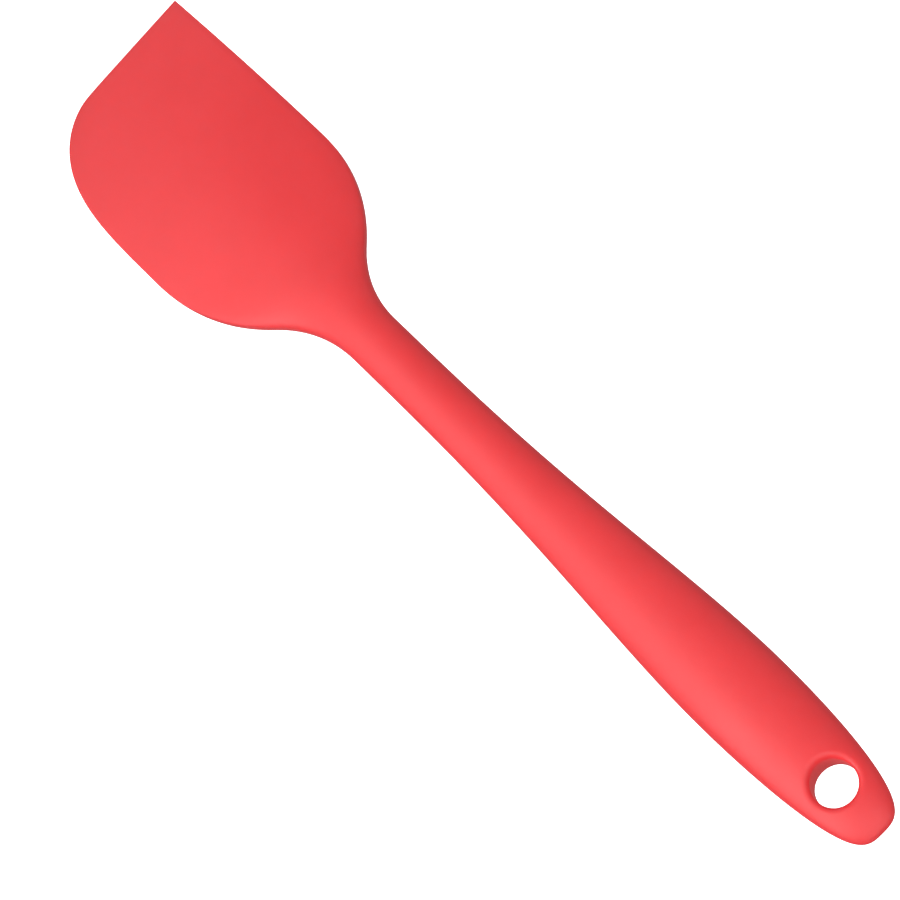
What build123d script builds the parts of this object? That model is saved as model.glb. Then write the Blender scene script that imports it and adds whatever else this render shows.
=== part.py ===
from build123d import *
from math import cos, pi, radians, sin, sqrt, tan
import os

os.makedirs("parts", exist_ok=True)

# A one-piece silicone spatula with a shallow scooped blade, moulded over a steel strip.
# It lies on a table with its scooped face down. +X runs from the blade's tip to the
# hang hole, +Z is up, and the origin is in the middle of its length, on the table.
# Every place along it, d, is a distance from the sharp corner of the blade's tip.

# Whole spatula
overall_length = 280.0

# Blade, seen from above
blade_width = 54.5
tip_width = 52.2
tip_slant_angle = 2.5
tip_flat_below_axis = 4.0
soft_corner_length = 50.0
sharp_shoulder_from_tip = 55.5
soft_shoulder_from_tip = 51.0

# Blade, in section
tip_thickness = 1.3
tip_round = 0.45
edge_round = 0.35
tip_wall = 0.65
shoulder_wall = 3.6

# Scoop in the blade's face
scoop_depth = 3.8
scoop_from_tip = 3.0
scoop_closing_from_tip = 49.0
scoop_full_from_tip = 60.0
scoop_end_from_tip = 87.0
scoop_rim = 1.6
scoop_step = 0.12

# Neck and handle
neck_from_tip = 105.0
neck_width = 14.0
neck_thickness = 9.5
grip_from_end = 48.0
grip_width = 24.2
grip_thickness = 14.0
parting_land = 0.8

# Hang hole
hole_diameter = 11.2
hole_from_end = 15.6
hole_mouth_radius = 1.8

# Stretch of the blade that flexes
flex_from_tip = 27.0
flex_length = 28.0

# Steel strip inside
core_thickness = 2.0
core_width = 8.0
core_from_tip = 63.0
core_from_end = 33.0
core_head_width = 17.0
core_head_length = 15.0
core_head_corner = 3.0
core_key_diameter = 4.0
core_key_pitch = 28.0
core_key_from_head = 12.0
core_head_key_spacing = 9.0

# Shares and exponents of the curves, and how many sections they run through
ellipse_share = 0.5523
soft_corner_shares = (3.6, 1.95)
shoulder_bulge_share = 0.6
crown_flat_share = 0.42
crown_edge_share = 0.18
face_flat_share = 0.93
scoop_flat_share = 0.5
scoop_edge_share = 0.28
scoop_growth_share = 1.3
scoop_close_share = 1.3
scoop_end_shares = (0.2, 0.4, 0.58, 0.74, 0.87, 0.95, 0.99)
grip_swell_share = 1.5
tail_width_shares = (2.0, 3.2)
tail_thickness_shares = (1.4, 2.2)
nose_section_shares = (0, 0.3, 1)
tip_section_shares = (0.045, 0.11, 0.22, 0.38, 0.6, 0.85)
shoulder_sections = 8
handle_sections = 9
tail_sections = 12
scoop_sections = 5

# How far a cut runs past what it cuts
overrun = 5.0


def smooth(way):
    way = min(max(way, 0), 1)
    return way * way * (3 - 2 * way)


def mix(a, b, way):
    return a + (b - a) * way


def quarter_circle(way):
    return sqrt(1 - (1 - min(max(way, 0), 1)) ** 2)


# Places that follow from the sizes
tip_x = -overall_length / 2
end_x = overall_length / 2
grip_axis_height = grip_thickness / 2
slant_run = tan(radians(tip_slant_angle))
tip_lead = slant_run * tip_width / 2
tip_flat_from_tip = tip_lead + slant_run * tip_flat_below_axis
grip_from_tip = overall_length - grip_from_end

# The outline from above
def swell(d):
    way = (d - neck_from_tip) / (grip_from_tip - neck_from_tip)
    return smooth(max(way, 0) ** grip_swell_share)


def tail(d, shares):
    way = min((d - grip_from_tip) / grip_from_end, 1)
    return (1 - way ** shares[0]) ** (1 / shares[1])


# A shoulder is two arcs that meet in line, one bulging and one hollow.
def shoulder_width(d, shoulder_from_tip):
    run = neck_from_tip - shoulder_from_tip
    drop = (blade_width - neck_width) / 2
    both_radii = (run**2 + drop**2) / (2 * drop)
    if d < mix(shoulder_from_tip, neck_from_tip, shoulder_bulge_share):
        radius = both_radii * shoulder_bulge_share
        return blade_width / 2 - radius + sqrt(radius**2 - (d - shoulder_from_tip) ** 2)
    radius = both_radii * (1 - shoulder_bulge_share)
    return neck_width / 2 + radius - sqrt(radius**2 - (neck_from_tip - d) ** 2)


def half_width(d, shoulder_from_tip):
    if d < shoulder_from_tip:
        return mix(blade_width, tip_width, (1 - d / shoulder_from_tip) ** 2) / 2
    if d < neck_from_tip:
        return shoulder_width(d, shoulder_from_tip)
    if d < grip_from_tip:
        return mix(neck_width, grip_width, swell(d)) / 2
    return grip_width / 2 * tail(d, tail_width_shares)


def sharp_side(d):
    return half_width(d, sharp_shoulder_from_tip)


def soft_side(d):
    if d >= soft_corner_length:
        return half_width(d, soft_shoulder_from_tip)
    way = max(d - tip_flat_from_tip, 0) / (soft_corner_length - tip_flat_from_tip)
    rise = half_width(soft_corner_length, soft_shoulder_from_tip) - tip_flat_below_axis
    fullness = (1 - (1 - way) ** soft_corner_shares[0]) ** (1 / soft_corner_shares[1])
    return tip_flat_below_axis + rise * fullness


# The heights of a section's crown, belly and side wall
def half_thickness(d):
    if d < grip_from_tip:
        return mix(neck_thickness, grip_thickness, swell(d)) / 2
    return grip_thickness / 2 * tail(d, tail_thickness_shares)


def crown_height(d):
    if d >= neck_from_tip:
        return grip_axis_height + half_thickness(d)
    way = d / neck_from_tip
    rise = way + way**5 * (1 - way)
    return mix(tip_thickness, grip_axis_height + neck_thickness / 2, rise)


def belly_height(d):
    if d >= neck_from_tip:
        return grip_axis_height - half_thickness(d)
    way = (d - scoop_end_from_tip) / (neck_from_tip - scoop_end_from_tip)
    return (grip_axis_height - neck_thickness / 2) * smooth(way)


def oval(d):
    oval_from_tip = (sharp_shoulder_from_tip + scoop_full_from_tip) / 2
    return smooth((d - oval_from_tip) / (neck_from_tip - oval_from_tip))


def side_wall(d):
    if d > grip_from_tip:
        land = parting_land / 2 * tail(d, tail_thickness_shares)
        return grip_axis_height - land, grip_axis_height + land
    low = mix(edge_round, grip_axis_height - parting_land / 2, oval(d))
    wall = mix(tip_wall, shoulder_wall, d / neck_from_tip)
    high = mix(edge_round + wall, grip_axis_height + parting_land / 2, oval(d))
    return low, high


# A section near the tip lies along the slanted edge, and one where the scoop closes is
# square to the axis. Its run is its distance from the tip's edge, along the axis.
def lean(run):
    return 1 - smooth(run / scoop_closing_from_tip)


def leaning_plane(run):
    turn = radians(tip_slant_angle) * lean(run)
    return Plane(
        origin=(tip_x + run + tip_lead * lean(run), 0, 0),
        x_dir=(-sin(turn), cos(turn), 0),
        z_dir=(cos(turn), sin(turn), 0),
    )


def square_plane(d):
    return Plane.YZ.offset(tip_x + d)


def reach(run, outline, side):
    turn = radians(tip_slant_angle) * lean(run)
    on_axis = run + tip_lead * lean(run)
    width = outline(on_axis)
    for _ in range(40):
        width = mix(width, outline(on_axis - side * width * tan(turn)), 1 / 2)
    return width / cos(turn)


def quarter(side, foot, crown, flat_share, edge_share):
    Bezier(
        (side, foot),
        (side, mix(foot, crown, edge_share)),
        (side * flat_share, crown),
        (0, crown),
    )


def moulding_section(run):
    inset = tip_round * (1 - quarter_circle(run / tip_round))
    nose = 1 - 2 * inset / tip_thickness
    heights = (*side_wall(run), crown_height(run), belly_height(run))
    low, high, crown, belly = [mix(tip_thickness / 2, height, nose) for height in heights]
    flat = mix(crown_flat_share, ellipse_share, oval(run))
    edge = mix(crown_edge_share, ellipse_share, oval(run))
    face = mix(face_flat_share, ellipse_share, oval(run))
    for side in (reach(run, sharp_side, 1) - inset, inset - reach(run, soft_side, -1)):
        quarter(side, high, crown, flat, edge)
        quarter(side, low, belly, face, ellipse_share)
        Line((side, low), (side, high))


# The scoop's edge runs along the blade's sides and closes in half an ellipse.
def scoop_half_width(d):
    if d <= scoop_closing_from_tip:
        return sharp_side(d) - scoop_rim
    way = (d - scoop_closing_from_tip) / (scoop_end_from_tip - scoop_closing_from_tip)
    return (sharp_side(scoop_closing_from_tip) - scoop_rim) * sqrt(1 - way**2)


def scoop_foot(d):
    return mix(-scoop_step, scoop_step, smooth(d / scoop_closing_from_tip))


def scoop_ceiling(d):
    way = (d - scoop_from_tip) / (scoop_full_from_tip - scoop_from_tip)
    depth = scoop_depth * (1 - (1 - min(way, 1)) ** scoop_growth_share)
    if d > scoop_closing_from_tip:
        closing = scoop_half_width(d) / scoop_half_width(scoop_closing_from_tip)
        depth = depth * closing**scoop_close_share
    return scoop_foot(d) + depth


def scoop_section(d):
    width = scoop_half_width(d)
    foot = scoop_foot(d)
    for side in (width, -width):
        quarter(side, foot, scoop_ceiling(d), scoop_flat_share, scoop_edge_share)
        Line((side, foot), (side, -overrun))
    Line((-width, -overrun), (width, -overrun))


def faces_through(places, plane_at, outline):
    faces = []
    for place in places:
        with BuildSketch(plane_at(place), mode=Mode.PRIVATE) as section:
            with BuildLine():
                outline(place)
            make_face()
        faces.append(section.sketch)
    return faces


# Silicone outside: the tip's rounded edge, the blade and the handle, which meet in line
nose_places = [tip_round * share for share in nose_section_shares]
tip_places = [tip_round] + [soft_shoulder_from_tip * share for share in tip_section_shares]
shoulder_places = [
    mix(soft_shoulder_from_tip, neck_from_tip, n / shoulder_sections)
    for n in range(shoulder_sections + 1)
]
handle_places = [
    mix(neck_from_tip, grip_from_tip, n / handle_sections)
    for n in range(handle_sections + 1)
]
tail_places = [
    grip_from_tip + grip_from_end * sin(pi / 2 * n / tail_sections)
    for n in range(1, tail_sections)
]
handle_end = Vertex(end_x, 0, grip_axis_height)
hole_x = end_x - hole_from_end

with BuildPart() as moulding:
    loft(faces_through(nose_places, leaning_plane, moulding_section), ruled=True)
    loft(faces_through(tip_places + shoulder_places, leaning_plane, moulding_section))
    rear_faces = faces_through(handle_places + tail_places, leaning_plane, moulding_section)
    loft([*rear_faces, handle_end])
    with BuildSketch(Plane.XY.offset(-overrun)):
        with Locations((hole_x, 0)):
            Circle(hole_diameter / 2)
    extrude(amount=grip_thickness + 2 * overrun, mode=Mode.SUBTRACT)
    hole_wall = moulding.faces().filter_by(GeomType.CYLINDER)
    fillet(hole_wall.edges().filter_by(GeomType.LINE, reverse=True), hole_mouth_radius)

# Hollow of the scoop
scoop_places = [
    scoop_closing_from_tip * n / scoop_sections for n in range(1, scoop_sections + 1)
]
scoop_places += [
    mix(scoop_closing_from_tip, scoop_end_from_tip, share) for share in scoop_end_shares
]

with BuildPart() as scoop:
    loft(faces_through([-scoop_from_tip, *scoop_places], square_plane, scoop_section))

# Steel strip: flat along the handle, and set down a little into the root of the blade
core_start_x = tip_x + core_from_tip
core_end_x = end_x - core_from_end
core_head_end_x = core_start_x + core_head_length
core_head_height = (crown_height(core_from_tip) + scoop_ceiling(core_from_tip)) / 2
key_run = core_end_x - core_key_diameter - core_head_end_x - core_key_from_head
key_count = int(key_run / core_key_pitch) + 1
key_row_length = (key_count - 1) * core_key_pitch
key_row_x = core_head_end_x + core_key_from_head + key_row_length / 2

with BuildPart() as stiffening_core:
    with BuildSketch(Plane.XZ.offset(-core_head_width)):
        with BuildLine():
            strip = Polyline(
                (core_start_x, core_head_height),
                (tip_x + neck_from_tip, grip_axis_height),
                (core_end_x, grip_axis_height),
            )
            offset(strip, core_thickness / 2, side=Side.BOTH)
        make_face()
    extrude(amount=2 * core_head_width)
    with BuildSketch(Plane.XY.offset(-overrun)) as strip_plan:
        with BuildLine():
            round_end = ThreePointArc(
                (core_end_x - core_width / 2, -core_width / 2),
                (core_end_x, 0),
                (core_end_x - core_width / 2, core_width / 2),
            )
            Polyline(
                round_end @ 1,
                (core_head_end_x + core_head_corner, core_width / 2),
                (core_head_end_x, core_head_width / 2),
                (core_start_x, core_head_width / 2),
                (core_start_x, -core_head_width / 2),
                (core_head_end_x, -core_head_width / 2),
                (core_head_end_x + core_head_corner, -core_width / 2),
                round_end @ 0,
            )
        make_face()
        corners = strip_plan.vertices().group_by(Axis.X)
        fillet(corners[0] + corners[1] + corners[2], core_head_corner)
    extrude(amount=grip_thickness + 2 * overrun, mode=Mode.INTERSECT)
    with BuildSketch(Plane.XY.offset(-overrun)):
        with Locations((key_row_x, 0)):
            with GridLocations(core_key_pitch, 0, key_count, 1):
                Circle(core_key_diameter / 2)
        with Locations((core_start_x + core_head_length / 2, 0)):
            with GridLocations(0, core_head_key_spacing, 1, 2):
                Circle(core_key_diameter / 2)
    extrude(amount=grip_thickness + 2 * overrun, mode=Mode.SUBTRACT)

# The one moulding, divided at the two ends of the stretch that flexes
tip_end = square_plane(flex_from_tip - flex_length / 2)
root_end = square_plane(flex_from_tip + flex_length / 2)

with BuildPart() as blade_tip:
    add(moulding.part)
    add(scoop.part, mode=Mode.SUBTRACT)
    split(bisect_by=tip_end, keep=Keep.BOTTOM)

with BuildPart() as blade_flex_band:
    add(moulding.part)
    add(scoop.part, mode=Mode.SUBTRACT)
    split(bisect_by=tip_end, keep=Keep.TOP)
    split(bisect_by=root_end, keep=Keep.BOTTOM)

with BuildPart() as handle_moulding:
    add(moulding.part)
    add(scoop.part, mode=Mode.SUBTRACT)
    split(bisect_by=root_end, keep=Keep.TOP)
    add(stiffening_core.part, mode=Mode.SUBTRACT)

blade_tip.part.label = "blade_tip"
blade_flex_band.part.label = "blade_flex_band"
handle_moulding.part.label = "handle_moulding"
stiffening_core.part.label = "stiffening_core"

export_step(blade_tip.part, "parts/blade_tip.step")
export_step(blade_flex_band.part, "parts/blade_flex_band.step")
export_step(handle_moulding.part, "parts/handle_moulding.step")
export_step(stiffening_core.part, "parts/stiffening_core.step")
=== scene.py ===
from math import atan2, cos, hypot, pi, radians, sin, sqrt, tan

import bmesh
import bpy
import numpy as np
from mathutils import Matrix, Vector


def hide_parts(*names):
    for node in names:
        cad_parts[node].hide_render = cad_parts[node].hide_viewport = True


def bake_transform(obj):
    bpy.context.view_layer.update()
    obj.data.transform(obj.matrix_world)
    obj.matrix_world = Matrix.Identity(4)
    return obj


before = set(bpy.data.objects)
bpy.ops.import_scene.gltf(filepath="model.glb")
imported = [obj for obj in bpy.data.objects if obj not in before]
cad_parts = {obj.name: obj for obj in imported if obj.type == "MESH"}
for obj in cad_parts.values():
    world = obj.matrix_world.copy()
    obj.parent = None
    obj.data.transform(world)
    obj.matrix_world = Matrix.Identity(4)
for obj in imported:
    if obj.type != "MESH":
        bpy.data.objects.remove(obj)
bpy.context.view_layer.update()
MM = 0.001

# Sizes, in millimetres
# The solids have the same ones. A place d along the spatula is a distance from the sharp
# corner of the blade's tip, and a run is a distance from the tip's slanted edge.
OVERALL_LENGTH = 280.0
BLADE_WIDTH = 54.5
TIP_WIDTH = 52.2
TIP_SLANT = radians(2.5)
TIP_FLAT_BELOW_AXIS = 4.0
SOFT_CORNER_LENGTH = 50.0
SHARP_SHOULDER = 55.5
SOFT_SHOULDER = 51.0
TIP_THICKNESS = 1.3
TIP_ROUND = 0.45
EDGE_ROUND = 0.35
TIP_WALL = 0.65
SHOULDER_WALL = 3.6
SCOOP_DEPTH = 3.8
SCOOP_START = 3.0
SCOOP_CLOSING = 49.0
SCOOP_FULL = 60.0
SCOOP_END = 87.0
SCOOP_RIM = 1.6
NECK = 105.0
NECK_WIDTH = 14.0
NECK_THICKNESS = 9.5
GRIP_FROM_END = 48.0
GRIP_WIDTH = 24.2
GRIP_THICKNESS = 14.0
PARTING_LAND = 0.8
HOLE_RADIUS = 5.6
HOLE_FROM_END = 15.6
HOLE_MOUTH = 1.8

# Shares and exponents of the curves, also the same as in the solids
ELLIPSE = 0.5523
SOFT_CORNER = (3.6, 1.95)
BULGE = 0.6
CROWN_FLAT, CROWN_EDGE = 0.42, 0.18
CROWN_RISE = 5
FACE_FLAT = 0.93
SCOOP_FLAT, SCOOP_EDGE = 0.5, 0.28
SCOOP_GROWTH = 1.3
SCOOP_CLOSE = 1.3
SWELL = 1.5
TAIL_WIDTH = (2.0, 3.2)
TAIL_THICKNESS = (1.4, 2.2)

# What only this mesh has: a handle whose end is a little fuller on the side of the blade's
# soft corner, and a rounding along the scoop's rim, from which the scoop starts softly
SOFT_TAIL_WIDTH = (2.0, 3.6)
RIM_ROUND = 0.35
RIM_START = 0.08
SCOOP_SOFT_START = 0.04

# Places that follow from the sizes
TIP_X = -OVERALL_LENGTH / 2
END_X = OVERALL_LENGTH / 2
AXIS_HEIGHT = GRIP_THICKNESS / 2
TIP_LEAD = tan(TIP_SLANT) * TIP_WIDTH / 2
TIP_FLAT_END = TIP_LEAD + tan(TIP_SLANT) * TIP_FLAT_BELOW_AXIS
GRIP = OVERALL_LENGTH - GRIP_FROM_END
HOLE_X = END_X - HOLE_FROM_END
SCOOP_CLOSING_RUN = SCOOP_END - SCOOP_CLOSING
MOUTH_RADIUS = HOLE_RADIUS + HOLE_MOUTH

# Rows of the mesh along the moulding. The tail's patch, with the hole, starts at TAIL_START.
NOSE_ROWS = 5
BLADE_ROWS = 46
SHOULDER_ROWS = 38
HANDLE_ROWS = 60
TAIL_START = 250.0
TAIL_POINTS = 46
TAIL_RINGS = 14
MOUTH_RINGS = 9
WALL_ROWS = 3
BORE_ROWS = 5

# Columns across half a slice: along the rim's flat, round its edge, and over the scoop
BAND_COLUMNS = 8
RIM_COLUMNS = 4
SCOOP_COLUMNS = 14
COLUMNS = BAND_COLUMNS + RIM_COLUMNS + SCOOP_COLUMNS

# How far round the scoop's end the columns have turned where the slices reach the neck
NECK_CORNER_ANGLE = radians(65)

# How closely places are solved, and how near, in metres, points are welded
SETTLING_STEPS = 40
HALVINGS = 36
OUTLINE_SAMPLES = 2000
NO_WIDTH = 1e-6
WELD_DISTANCE = 2e-6
NO_LENGTH = 1e-6


# The moulding's form
def smooth(way):
    way = min(max(way, 0.0), 1.0)
    return way * way * (3 - 2 * way)


def mix(a, b, way):
    return a + (b - a) * way


def steps(count):
    """Evenly spaced shares from 0 to 1."""
    return [n / count for n in range(count + 1)]


def quarter_turn(n, count):
    return pi / 2 * n / count


def quarter_circle(way):
    return sqrt(1 - (1 - min(max(way, 0.0), 1.0)) ** 2)


def swell(d):
    way = (d - NECK) / (GRIP - NECK)
    return smooth(max(way, 0.0) ** SWELL)


def tail(d, shares):
    way = min((d - GRIP) / GRIP_FROM_END, 1.0)
    return (1 - way ** shares[0]) ** (1 / shares[1])


def shoulder_width(d, shoulder):
    """A shoulder is two arcs that meet in line, one bulging and one hollow."""
    run = NECK - shoulder
    drop = (BLADE_WIDTH - NECK_WIDTH) / 2
    both_radii = (run**2 + drop**2) / (2 * drop)
    if d < mix(shoulder, NECK, BULGE):
        radius = both_radii * BULGE
        return BLADE_WIDTH / 2 - radius + sqrt(radius**2 - (d - shoulder) ** 2)
    radius = both_radii * (1 - BULGE)
    return NECK_WIDTH / 2 + radius - sqrt(radius**2 - (NECK - d) ** 2)


def half_width(d, shoulder=SHARP_SHOULDER):
    if d < shoulder:
        return mix(BLADE_WIDTH, TIP_WIDTH, (1 - d / shoulder) ** 2) / 2
    if d < NECK:
        return shoulder_width(d, shoulder)
    if d < GRIP:
        return mix(NECK_WIDTH, GRIP_WIDTH, swell(d)) / 2
    return GRIP_WIDTH / 2 * tail(d, TAIL_WIDTH)


def soft_side(d):
    """The same on the side of the blade's soft corner."""
    if d >= GRIP:
        return GRIP_WIDTH / 2 * tail(d, SOFT_TAIL_WIDTH)
    if d >= SOFT_CORNER_LENGTH:
        return half_width(d, SOFT_SHOULDER)
    way = max(d - TIP_FLAT_END, 0.0) / (SOFT_CORNER_LENGTH - TIP_FLAT_END)
    rise = half_width(SOFT_CORNER_LENGTH, SOFT_SHOULDER) - TIP_FLAT_BELOW_AXIS
    fullness = (1 - (1 - way) ** SOFT_CORNER[0]) ** (1 / SOFT_CORNER[1])
    return TIP_FLAT_BELOW_AXIS + rise * fullness


OUTLINES = {1: half_width, -1: soft_side}
SCOOP_ROOM = half_width(SCOOP_CLOSING) - SCOOP_RIM


def half_thickness(d):
    if d < GRIP:
        return mix(NECK_THICKNESS, GRIP_THICKNESS, swell(d)) / 2
    return GRIP_THICKNESS / 2 * tail(d, TAIL_THICKNESS)


def crown_height(d):
    if d >= NECK:
        return AXIS_HEIGHT + half_thickness(d)
    way = d / NECK
    rise = way + way**CROWN_RISE * (1 - way)
    return mix(TIP_THICKNESS, AXIS_HEIGHT + NECK_THICKNESS / 2, rise)


def belly_height(d):
    if d >= NECK:
        return AXIS_HEIGHT - half_thickness(d)
    way = (d - SCOOP_END) / (NECK - SCOOP_END)
    return (AXIS_HEIGHT - NECK_THICKNESS / 2) * smooth(way)


def oval(d):
    """How far a slice has changed from the blade's section to the handle's oval."""
    start = (SHARP_SHOULDER + SCOOP_FULL) / 2
    return smooth((d - start) / (NECK - start))


def side_wall(d):
    """The heights at which the upright side starts and ends."""
    if d > GRIP:
        land = PARTING_LAND / 2 * tail(d, TAIL_THICKNESS)
        return AXIS_HEIGHT - land, AXIS_HEIGHT + land
    wall = mix(TIP_WALL, SHOULDER_WALL, d / NECK)
    low = mix(EDGE_ROUND, AXIS_HEIGHT - PARTING_LAND / 2, oval(d))
    high = mix(EDGE_ROUND + wall, AXIS_HEIGHT + PARTING_LAND / 2, oval(d))
    return low, high


def lean(run):
    """How far a slice still leans with the tip's slanted edge, from 1 there to 0."""
    return 1 - smooth(run / SCOOP_CLOSING)


def reach(run, outline, side):
    """How far along a leaning slice the outline is from the axis."""
    turn = TIP_SLANT * lean(run)
    on_axis = run + TIP_LEAD * lean(run)
    width = outline(on_axis)
    for _ in range(SETTLING_STEPS):
        width = mix(width, outline(on_axis - side * width * tan(turn)), 0.5)
    return width / cos(turn)


def across(u, flat):
    """How far out, from 1 at the side to 0 in the middle, a quarter curve is at u."""
    return (1 - u) ** 3 + 3 * u * (1 - u) ** 2 + 3 * u * u * (1 - u) * flat


def up(u, edge):
    """How far up, from 0 at the side to 1 in the middle, a quarter curve is at u."""
    return 3 * u * (1 - u) ** 2 * edge + 3 * u * u * (1 - u) + u**3


def u_at(share, flat):
    """The u at which a quarter curve is that far out."""
    low, high = 0.0, 1.0
    for _ in range(HALVINGS):
        u = (low + high) / 2
        low, high = (u, high) if across(u, flat) > share else (low, u)
    return (low + high) / 2


class Slice:
    """One slice across the moulding."""

    def __init__(self, run):
        self.run = run
        self.inset = TIP_ROUND * (1 - quarter_circle(run / TIP_ROUND))
        nose = 1 - 2 * self.inset / TIP_THICKNESS
        heights = (*side_wall(run), crown_height(run), belly_height(run))
        heights = [mix(TIP_THICKNESS / 2, height, nose) for height in heights]
        self.low, self.high, self.crown, self.belly = heights
        self.flat = mix(CROWN_FLAT, ELLIPSE, oval(run))
        self.edge = mix(CROWN_EDGE, ELLIPSE, oval(run))
        self.face = mix(FACE_FLAT, ELLIPSE, oval(run))
        self.turn = TIP_SLANT * lean(run)
        self.x = TIP_X + run + TIP_LEAD * lean(run)
        self.half = {side: reach(run, OUTLINES[side], side) - self.inset for side in (1, -1)}

    def place(self, y, z):
        return (self.x - y * sin(self.turn), y * cos(self.turn), z)

    def top(self, side, u):
        z = mix(self.high, self.crown, up(u, self.edge))
        return self.place(side * self.half[side] * across(u, self.flat), z)

    def under(self, side, u):
        z = mix(self.low, self.belly, up(u, ELLIPSE))
        return self.place(side * self.half[side] * across(u, self.face), z)

    def under_height(self, side, y):
        u = u_at(min(abs(y) / self.half[side], 1.0), self.face)
        return mix(self.low, self.belly, up(u, ELLIPSE))

    def top_columns(self, side, row):
        """The u of each point of the top that lies over one of the underside's row."""
        shares = [abs(y) / cos(self.turn) / self.half[side] for x, y, z in row]
        return [0.0] + [u_at(min(share, 1.0), self.flat) for share in shares[1:-1]] + [1.0]


def scoop_depth(d):
    """How deep the scoop is on the blade's axis, before its end closes."""
    way = (d - SCOOP_START) / (SCOOP_FULL - SCOOP_START)
    way = (way + hypot(way, SCOOP_SOFT_START)) / 2
    return SCOOP_DEPTH * (1 - (1 - min(way, 1.0)) ** SCOOP_GROWTH)


def scoop_steps():
    return [mix(RIM_START, 1.0, way) for way in steps(SCOOP_COLUMNS)]


def rounded(outer, corner, inner):
    """The points of a small rounding, between its two ends."""
    outer, corner, inner = (np.array(p) for p in (outer, corner, inner))
    found = []
    for way in steps(RIM_COLUMNS)[1:-1]:
        found.append((1 - way) ** 2 * outer + 2 * way * (1 - way) * corner + way**2 * inner)
    return [tuple(p) for p in found]


def blade_under(s, side):
    """The underside across half a slice of the blade, from its side wall to its middle."""
    rim = reach(s.run, lambda d: OUTLINES[side](d) - SCOOP_RIM, side)
    u_rim = u_at((rim + RIM_ROUND) / s.half[side], s.face)
    band = [s.under(side, u_rim * way) for way in steps(BAND_COLUMNS)]
    corner = s.place(side * rim, s.under_height(side, rim))
    inside = []
    for v in scoop_steps():
        y = rim * across(v, SCOOP_FLAT)
        x, wide, z = s.place(side * y, s.under_height(side, y))
        depth = scoop_depth(x - TIP_X) if s.run > TIP_ROUND else 0.0
        inside.append((x, wide, z + depth * up(v, SCOOP_EDGE)))
    return band + rounded(band[-1], corner, inside[0]) + inside


def closing_under(side, angle, out_run, out_u):
    """The same where the scoop closes round its end, from out_run, out_u to its middle."""
    ahead, out = sin(angle), cos(angle)
    normal = np.array([ahead / SCOOP_CLOSING_RUN, out / SCOOP_ROOM])
    normal /= np.linalg.norm(normal)
    edge = np.array([SCOOP_CLOSING + SCOOP_CLOSING_RUN * ahead, SCOOP_ROOM * out])
    start = edge + RIM_ROUND * normal
    s = Slice(start[0])
    u_rim = u_at(start[1] / s.half[side], s.face)
    band = []
    for way in steps(BAND_COLUMNS):
        band.append(Slice(mix(out_run, start[0], way)).under(side, mix(out_u, u_rim, way)))
    s = Slice(edge[0])
    corner = s.place(side * edge[1], s.under_height(side, edge[1]))
    inside = []
    for v in scoop_steps():
        share = across(v, SCOOP_FLAT)
        d = SCOOP_CLOSING + share * SCOOP_CLOSING_RUN * ahead
        y = share * SCOOP_ROOM * out
        closing = sqrt(1 - (share * ahead) ** 2)
        lift = up(u_at(min(y / (SCOOP_ROOM * closing), 1.0), SCOOP_FLAT), SCOOP_EDGE)
        s = Slice(d)
        z = s.under_height(side, y) + scoop_depth(d) * closing**SCOOP_CLOSE * lift
        inside.append(s.place(side * y, z))
    return band + rounded(band[-1], corner, inside[0]) + inside


def tail_outline(side):
    """Places along the outline of the handle's end, evenly spaced."""
    start = (TAIL_START - GRIP) / GRIP_FROM_END
    ways = [sin(quarter_turn(n, OUTLINE_SAMPLES)) for n in range(OUTLINE_SAMPLES + 1)]
    places = [GRIP + GRIP_FROM_END * mix(start, 1, way) for way in ways]
    points = np.array([(d, OUTLINES[side](d)) for d in places])
    length = np.concatenate([[0], np.cumsum(np.linalg.norm(np.diff(points, axis=0), axis=1))])
    return np.interp(np.linspace(0, length[-1], TAIL_POINTS + 1), length, places)


def tail_wall(side, d):
    """The low and the high point of the upright side, on the outline of the tail."""
    return [(TIP_X + d, side * OUTLINES[side](d), height) for height in side_wall(d)]


def tail_height(level, x, y):
    d = x - TIP_X
    half = OUTLINES[1 if y >= 0 else -1](d)
    u = u_at(min(abs(y) / half, 1.0) if half > NO_WIDTH else 0.0, ELLIPSE)
    low, high = side_wall(d)
    foot, crown = (high, crown_height(d)) if level > 0 else (low, belly_height(d))
    return mix(foot, crown, up(u, ELLIPSE))


def tail_patch(level):
    """The top (1) or underside (-1) of the handle's end, as rings from its outline into
    the hole."""
    edge = 1 if level > 0 else 0
    outline = [tail_wall(1, d)[edge] for d in tail_outline(1)]
    outline += [tail_wall(-1, d)[edge] for d in tail_outline(-1)[-2::-1]]
    s = Slice(TAIL_START)
    row = s.top if level > 0 else s.under
    outline += [row(-1, u) for u in steps(COLUMNS)[1:]]
    outline += [row(1, u) for u in steps(COLUMNS)[-2::-1]]
    rings = [outline]
    turns = [atan2(y, x - HOLE_X) for x, y, z in outline]
    for n in range(TAIL_RINGS - 1, -1, -1):
        way = sin(quarter_turn(n, TAIL_RINGS))
        ring = []
        for turn, (x, y, z) in zip(turns, outline):
            x = mix(HOLE_X + MOUTH_RADIUS * cos(turn), x, way)
            y = mix(MOUTH_RADIUS * sin(turn), y, way)
            ring.append((x, y, tail_height(level, x, y)))
        rings.append(ring)
    for n in range(1, MOUTH_RINGS + 1):
        angle = quarter_turn(n, MOUTH_RINGS)
        radius = MOUTH_RADIUS - HOLE_MOUTH * sin(angle)
        sunk = HOLE_MOUTH * (1 - cos(angle))
        ring = []
        for turn in turns:
            x, y = HOLE_X + radius * cos(turn), radius * sin(turn)
            ring.append((x, y, tail_height(level, x, y) - level * sunk))
        rings.append(ring)
    return rings


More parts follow.
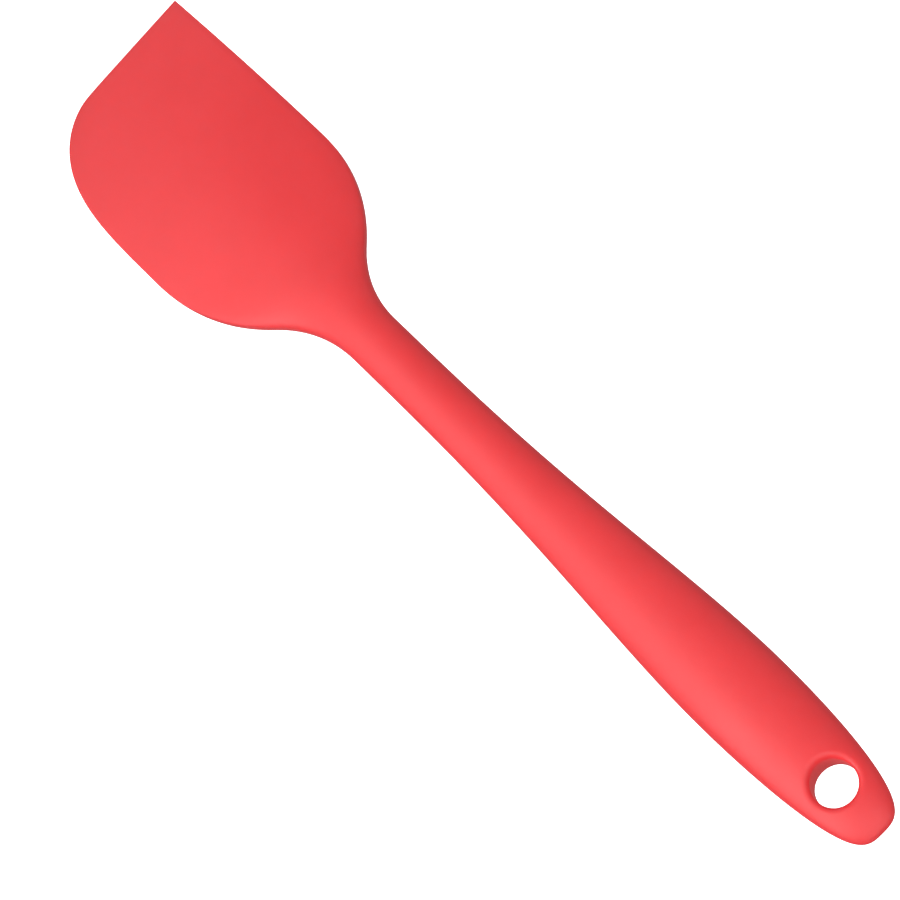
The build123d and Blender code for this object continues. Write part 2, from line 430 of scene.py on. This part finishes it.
class Shell:
    """Collects patches of points in rows, and welds them into one closed mesh."""

    def __init__(self):
        self.points, self.faces, self.in_scoop = [], [], []

    def patch(self, rows, scoop_columns=0):
        """Adds rows of points, of which the last columns may be in the scoop."""
        first, wide = len(self.points), len(rows[0])
        for row in rows:
            self.points += [tuple(c * MM for c in p) for p in row]
            self.in_scoop += [float(m >= wide - scoop_columns) for m in range(wide)]
        for n in range(len(rows) - 1):
            for m in range(wide - 1):
                a = first + n * wide + m
                self.faces.append((a, a + 1, a + wide + 1, a + wide))

    def tube(self, rings):
        self.patch([ring + ring[:1] for ring in rings])

    def mesh(self, name):
        made = bpy.data.meshes.new(name)
        made.from_pydata(self.points, [], self.faces)
        in_scoop = made.attributes.new("in_scoop", "FLOAT", "POINT")
        in_scoop.data.foreach_set("value", self.in_scoop)
        work = bmesh.new()
        work.from_mesh(made)
        bmesh.ops.remove_doubles(work, verts=work.verts, dist=WELD_DISTANCE)
        bmesh.ops.dissolve_degenerate(work, edges=work.edges, dist=NO_LENGTH)
        bmesh.ops.recalc_face_normals(work, faces=work.faces)
        for face in work.faces:
            face.smooth = True
        work.to_mesh(made)
        work.free()
        # The textures lie on the places at rest, and so they bend with the blade
        rest = made.attributes.new("rest_place", "FLOAT_VECTOR", "POINT")
        rest.data.foreach_set("vector", [c for v in made.vertices for c in v.co])
        return made


def between(a, b, rows):
    """Rows of points that lead from the row a to the row b."""
    a, b = np.array(a), np.array(b)
    return [[tuple(p) for p in mix(a, b, way)] for way in steps(rows)]


def blade_runs():
    """Close together round the tip's nose, then further and further apart."""
    nose = [TIP_ROUND * (1 - cos(quarter_turn(n, NOSE_ROWS))) for n in range(NOSE_ROWS + 1)]
    start = (TIP_ROUND / SCOOP_CLOSING) ** 0.5
    return nose + [SCOOP_CLOSING * mix(start, 1, way) ** 2 for way in steps(BLADE_ROWS)[1:]]


def add_side(shell, side):
    """Adds one side of the moulding, all but the top and underside of its tail."""
    columns = steps(COLUMNS)
    blade = [Slice(run) for run in blade_runs()]
    shoulder = [Slice(mix(SCOOP_CLOSING, NECK, way)) for way in steps(SHOULDER_ROWS)]
    handle = [Slice(mix(NECK, TAIL_START, way)) for way in steps(HANDLE_ROWS)]

    # Underside of the blade, the top over it in the same columns, and the nose between them
    under = [blade_under(s, side) for s in blade]
    over = [s.top_columns(side, row) for s, row in zip(blade, under)]
    top = [[s.top(side, u) for u in us] for s, us in zip(blade, over)]
    shell.patch(between(under[0], top[0], WALL_ROWS))

    # Round the scoop's end, from the shoulder's side wall and then from the neck
    for n, s in enumerate(shoulder[1:], 1):
        under.append(closing_under(side, NECK_CORNER_ANGLE * n / SHOULDER_ROWS, s.run, 0.0))
    for u in columns[1:]:
        under.append(closing_under(side, mix(NECK_CORNER_ANGLE, pi / 2, u), NECK, u))
    shell.patch(under, SCOOP_COLUMNS + 1)

    # Top of the shoulder, whose columns spread out evenly towards the neck, and the handle
    for s in shoulder[1:]:
        way = smooth((s.run - SCOOP_CLOSING) / (NECK - SCOOP_CLOSING))
        top.append([s.top(side, mix(a, b, way)) for a, b in zip(over[-1], columns)])
    top += [[s.top(side, u) for u in columns] for s in handle[1:]]
    shell.patch(top)
    shell.patch([[s.under(side, u) for u in columns] for s in handle])

    # Side wall, on round the tail
    wall = [(s.under(side, 0.0), s.top(side, 0.0)) for s in blade + shoulder[1:] + handle[1:]]
    wall += [tail_wall(side, d) for d in tail_outline(side)[1:]]
    low, high = zip(*wall)
    shell.patch(between(low, high, WALL_ROWS))


def build_silicone():
    shell = Shell()
    for side in (1, -1):
        add_side(shell, side)
    upper, lower = tail_patch(1), tail_patch(-1)
    shell.tube(upper)
    shell.tube(lower)
    shell.tube(between(upper[-1], lower[-1], BORE_ROWS))
    return shell.mesh("spatula_silicone")


# Materials
# A noise's values lie nearly all in this span
NOISE_SPAN = (0.3, 0.7)


class Paint:
    """A node material with a few short ways to add nodes."""

    def __init__(self, name):
        self.material = bpy.data.materials.new(name)
        self.material.use_nodes = True
        self.nodes = self.material.node_tree.nodes
        self.links = self.material.node_tree.links
        self.shader = self.nodes["Principled BSDF"]

    def fixed(self, **values):
        for name, value in values.items():
            self.shader.inputs[name.replace("_", " ")].default_value = value

    def attribute(self, name):
        node = self.nodes.new("ShaderNodeAttribute")
        node.attribute_name = name
        return node

    def object_place(self):
        return self.nodes.new("ShaderNodeTexCoord").outputs["Object"]

    def stretched(self, place, scale):
        node = self.nodes.new("ShaderNodeMapping")
        node.inputs["Scale"].default_value = scale
        self.links.new(place, node.inputs["Vector"])
        return node.outputs["Vector"]

    def noise(self, place, scale, detail=2.0, rough=0.5):
        node = self.nodes.new("ShaderNodeTexNoise")
        node.inputs["Scale"].default_value = scale
        node.inputs["Detail"].default_value = detail
        node.inputs["Roughness"].default_value = rough
        self.links.new(place, node.inputs["Vector"])
        return node.outputs["Fac"]

    def ranged(self, value, low, high, span=(0.0, 1.0)):
        """Maps a span of values to the range from low to high."""
        node = self.nodes.new("ShaderNodeMapRange")
        sockets = ("From Min", "From Max", "To Min", "To Max")
        for socket, number in zip(sockets, (*span, low, high)):
            node.inputs[socket].default_value = number
        self.links.new(value, node.inputs["Value"])
        return node.outputs["Result"]

    def math(self, operation, a, b):
        node = self.nodes.new("ShaderNodeMath")
        node.operation = operation
        for socket, value in zip(node.inputs, (a, b)):
            if isinstance(value, float):
                socket.default_value = value
            else:
                self.links.new(value, socket)
        return node.outputs["Value"]

    def blended(self, factor, a, b):
        node = self.nodes.new("ShaderNodeMix")
        node.data_type = "RGBA"
        self.links.new(factor, node.inputs[0])
        for socket, value in ((node.inputs[6], a), (node.inputs[7], b)):
            if isinstance(value, tuple):
                socket.default_value = (*value, 1.0)
            else:
                self.links.new(value, socket)
        return node.outputs[2]

    def bump(self, height, distance, strength, normal=None):
        node = self.nodes.new("ShaderNodeBump")
        node.inputs["Strength"].default_value = strength
        node.inputs["Distance"].default_value = distance
        self.links.new(height, node.inputs["Height"])
        if normal is not None:
            self.links.new(normal, node.inputs["Normal"])
        return node.outputs["Normal"]

    def finish(self, colour, roughness, normal):
        self.links.new(colour, self.shader.inputs["Base Color"])
        self.links.new(roughness, self.shader.inputs["Roughness"])
        self.links.new(normal, self.shader.inputs["Normal"])
        return self.material


SILICONE_DEEP = (0.839, 0.0336, 0.0419)
SILICONE_PALE = (0.885, 0.0388, 0.0481)
SCOOP_HAZE = (0.84, 0.066, 0.083)
STEEL_DARK, STEEL_BRIGHT = (0.50, 0.50, 0.51), (0.66, 0.66, 0.66)
PAPER_GREY, PAPER_WHITE = (0.86, 0.86, 0.86), (0.9, 0.9, 0.9)


def silicone_material():
    """Matte moulded silicone: cloudy pigment, a satin mould grain, a hazier scooped face."""
    paint = Paint("silicone")
    place = paint.attribute("rest_place").outputs["Vector"]
    in_scoop = paint.attribute("in_scoop").outputs["Fac"]
    clouds = paint.noise(place, scale=55.0, detail=3.0, rough=0.55)
    flecks = paint.noise(place, scale=420.0, detail=3.0, rough=0.6)
    grain = paint.noise(place, scale=1500.0, detail=3.0, rough=0.65)
    cloudy = paint.ranged(clouds, 0.0, 1.0, NOISE_SPAN)
    colour = paint.blended(cloudy, SILICONE_DEEP, SILICONE_PALE)
    haze = paint.math("MULTIPLY", in_scoop, paint.ranged(flecks, 0.25, 0.75, NOISE_SPAN))
    colour = paint.blended(haze, colour, SCOOP_HAZE)
    worn = paint.ranged(clouds, 0.46, 0.54, NOISE_SPAN)
    roughness = paint.math("SUBTRACT", worn, paint.math("MULTIPLY", in_scoop, 0.06))
    normal = paint.bump(flecks, distance=0.00003, strength=0.5)
    normal = paint.bump(grain, distance=0.00001, strength=0.6, normal=normal)
    paint.fixed(IOR=1.5, Specular_IOR_Level=0.69)
    paint.fixed(Subsurface_Weight=0.8, Subsurface_Scale=0.0045, Subsurface_Radius=(1.0, 0.25, 0.2))
    return paint.finish(colour, roughness, normal)


def steel_material():
    """Stamped stainless strip, with the rolling marks along it."""
    paint = Paint("core_steel")
    place = paint.object_place()
    along = paint.stretched(place, (30.0, 2600.0, 2600.0))
    rolled = paint.noise(along, scale=1.0, detail=4.0)
    stains = paint.noise(place, scale=140.0)
    colour = paint.blended(stains, STEEL_DARK, STEEL_BRIGHT)
    roughness = paint.ranged(rolled, 0.26, 0.42, NOISE_SPAN)
    paint.fixed(Metallic=1.0)
    return paint.finish(colour, roughness, paint.bump(rolled, distance=0.00001, strength=0.4))


def paper_material():
    """White paper that glows evenly, so that it is white all over the picture."""
    paint = Paint("floor")
    paper = paint.noise(paint.object_place(), scale=400.0)
    colour = paint.blended(paper, PAPER_GREY, PAPER_WHITE)
    roughness = paint.ranged(paper, 0.8, 0.9)
    paint.fixed(Emission_Strength=1.0, Emission_Color=(1, 1, 1, 1), Specular_IOR_Level=0.0)
    return paint.finish(colour, roughness, paint.bump(paper, distance=0.00002, strength=0.2))


silicone = bpy.data.objects.new("spatula_silicone", build_silicone())
bpy.context.scene.collection.objects.link(silicone)
silicone.data.materials.append(silicone_material())
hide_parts("handle_moulding", "blade_flex_band", "blade_tip")
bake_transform(silicone)

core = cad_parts["stiffening_core"]
core.data.materials.clear()
core.data.materials.append(steel_material())

# Floor, in metres
# It lies under the spatula by as much as the blade needs to bend down in its poses
FLOOR_HEIGHT = -0.05
SHEET_RADIUS, SHEET_BEND, SHEET_TOP = 4.0, 1.2, 3.0
SHEET_BEND_ROWS, SHEET_SIDES = 12, 96


def build_sheet():
    """A plain white sheet that bends up all round, lit evenly as in the photograph."""
    profile = [(SHEET_RADIUS - SHEET_BEND, 0.0)]
    for n in range(1, SHEET_BEND_ROWS + 1):
        angle = quarter_turn(n, SHEET_BEND_ROWS)
        radius = SHEET_RADIUS - SHEET_BEND * (1 - sin(angle))
        profile.append((radius, SHEET_BEND * (1 - cos(angle))))
    profile.append((SHEET_RADIUS, SHEET_TOP))
    points = []
    for radius, height in profile:
        for n in range(SHEET_SIDES):
            turn = 2 * pi * n / SHEET_SIDES
            points.append((radius * cos(turn), radius * sin(turn), FLOOR_HEIGHT + height))
    faces = [tuple(range(SHEET_SIDES))]
    for row in range(len(profile) - 1):
        for n in range(SHEET_SIDES):
            a = row * SHEET_SIDES + n
            b = row * SHEET_SIDES + (n + 1) % SHEET_SIDES
            faces.append((a, b, b + SHEET_SIDES, a + SHEET_SIDES))
    mesh = bpy.data.meshes.new("floor")
    mesh.from_pydata(points, [], faces)
    mesh.materials.append(paper_material())
    floor = bpy.data.objects.new("floor", mesh)
    bpy.context.scene.collection.objects.link(floor)
    # The sheet is seen, but its own glow doesn't light the spatula's underside
    floor.visible_diffuse = floor.visible_glossy = floor.visible_shadow = False


# Light
# The world's light changes over this much of the direction's height, up and down
HORIZON_BLUR = 0.3
LAMP_DISTANCE = 1.3


def build_world(below, above):
    """Soft light from all round, of one strength below the horizon and another above."""
    world = bpy.data.worlds.new("studio")
    world.use_nodes = True
    nodes, links = world.node_tree.nodes, world.node_tree.links
    direction = nodes.new("ShaderNodeTexCoord").outputs["Generated"]
    parts = nodes.new("ShaderNodeSeparateXYZ")
    links.new(direction, parts.inputs["Vector"])
    strength = nodes.new("ShaderNodeMapRange")
    strength.interpolation_type = "SMOOTHSTEP"
    sockets = ("From Min", "From Max", "To Min", "To Max")
    for socket, number in zip(sockets, (-HORIZON_BLUR, HORIZON_BLUR, below, above)):
        strength.inputs[socket].default_value = number
    links.new(parts.outputs["Z"], strength.inputs["Value"])
    background = nodes["Background"]
    background.inputs["Color"].default_value = (1, 1, 1, 1)
    links.new(strength.outputs["Result"], background.inputs["Strength"])
    bpy.context.scene.world = world


def softbox(name, azimuth, elevation, width, height, energy):
    """A rectangular lamp that looks at the spatula's middle."""
    lamp = bpy.data.lights.new(name, "AREA")
    lamp.shape = "RECTANGLE"
    lamp.size, lamp.size_y, lamp.energy = width, height, energy
    lamp_object = bpy.data.objects.new(name, lamp)
    turn, rise = radians(azimuth), radians(elevation)
    way = Vector((cos(rise) * cos(turn), cos(rise) * sin(turn), sin(rise)))
    lamp_object.location = LAMP_DISTANCE * way
    lamp_object.rotation_mode = "QUATERNION"
    lamp_object.rotation_quaternion = way.to_track_quat("Z", "Y")
    bpy.context.scene.collection.objects.link(lamp_object)


build_sheet()
build_world(below=0.34, above=0.44)
softbox("key", azimuth=-90, elevation=42.5, width=0.8, height=1.35, energy=10.1)
softbox("top", azimuth=0, elevation=50, width=1.15, height=1.15, energy=5.6)
softbox("sheen", azimuth=-150, elevation=55, width=0.8, height=0.8, energy=2.2)

# Camera, in millimetres
# It looks down at its aim from the handle's side, and rolls as the photograph does
CAMERA_DISTANCE = 1190.0
CAMERA_TILT = radians(21.576)
CAMERA_ROLL = radians(44.165)
CAMERA_AIM = (-3.717, -6.455, 0.0)
CAMERA_FOCAL_PIXELS = 4982.5
FRAME_PIXELS = 900
SENSOR_WIDTH = 36.0

back = Vector((sin(CAMERA_TILT), 0, cos(CAMERA_TILT)))
level = Vector((cos(CAMERA_TILT), 0, -sin(CAMERA_TILT)))
right = cos(CAMERA_ROLL) * level + sin(CAMERA_ROLL) * Vector((0, 1, 0))
upward = -sin(CAMERA_ROLL) * level + cos(CAMERA_ROLL) * Vector((0, 1, 0))
camera_data = bpy.data.cameras.new("camera")
camera_data.sensor_width = SENSOR_WIDTH
camera_data.lens = CAMERA_FOCAL_PIXELS / FRAME_PIXELS * SENSOR_WIDTH
camera = bpy.data.objects.new("camera", camera_data)
place = (Vector(CAMERA_AIM) + CAMERA_DISTANCE * back) * MM
camera.matrix_world = Matrix(
    (
        (right.x, upward.x, back.x, place.x),
        (right.y, upward.y, back.y, place.y),
        (right.z, upward.z, back.z, place.z),
        (0, 0, 0, 1),
    )
)
bpy.context.scene.collection.objects.link(camera)
bpy.context.scene.camera = camera
bpy.context.scene.view_settings.view_transform = "Standard"

bpy.context.view_layer.update()
